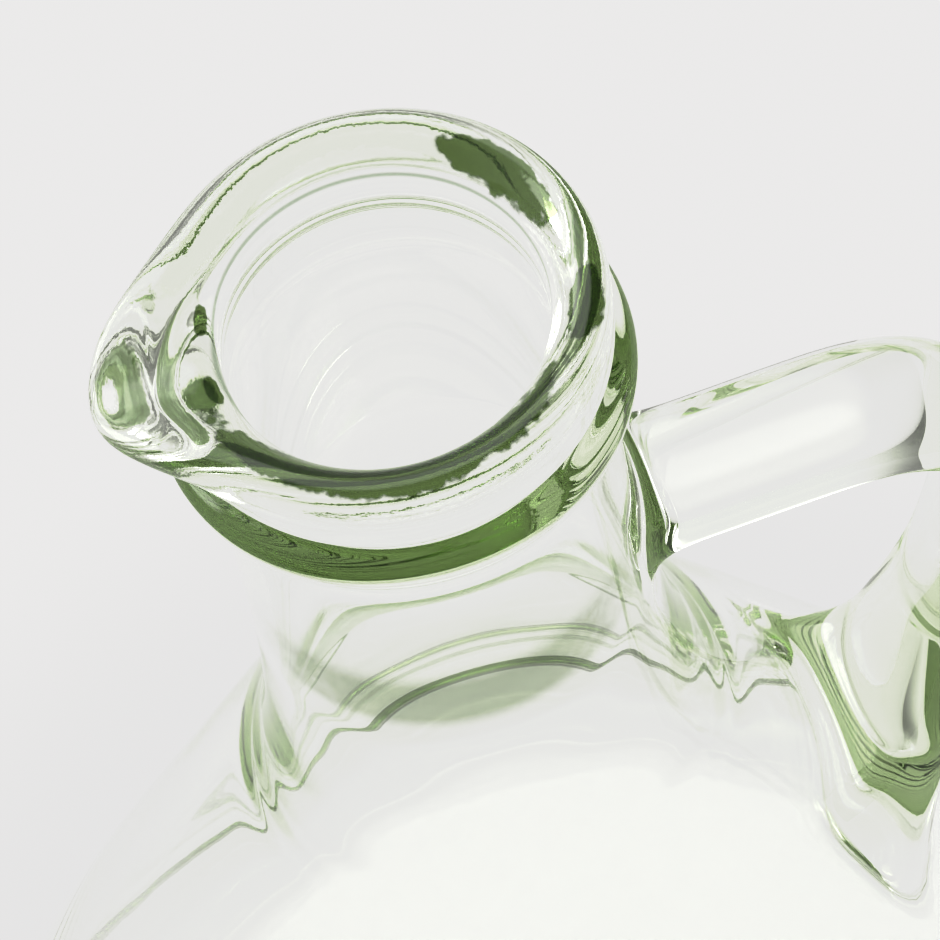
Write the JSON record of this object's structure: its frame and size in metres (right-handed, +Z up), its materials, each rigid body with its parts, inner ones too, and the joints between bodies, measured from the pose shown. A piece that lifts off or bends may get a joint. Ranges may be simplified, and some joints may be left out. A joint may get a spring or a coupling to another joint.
{
  "type": "glass bottle",
  "caption": "Clear, faintly green cone-shaped glass bottle in one piece, with a round neck, a collar ring, a thick rolled lip drawn out into a spout, and a strap handle.",
  "frame": {"origin": "on the bottle's axis, at the surface that it stands on", "axes": "+Z up along the bottle's axis, the handle at +X and the pouring spout at -X"},
  "size_m": [0.187, 0.187, 0.25],
  "materials": {
    "glass": "polished"
  },
  "bodies": {
    "root": {"bottle": "glass"}
  },
  "joints": []
}
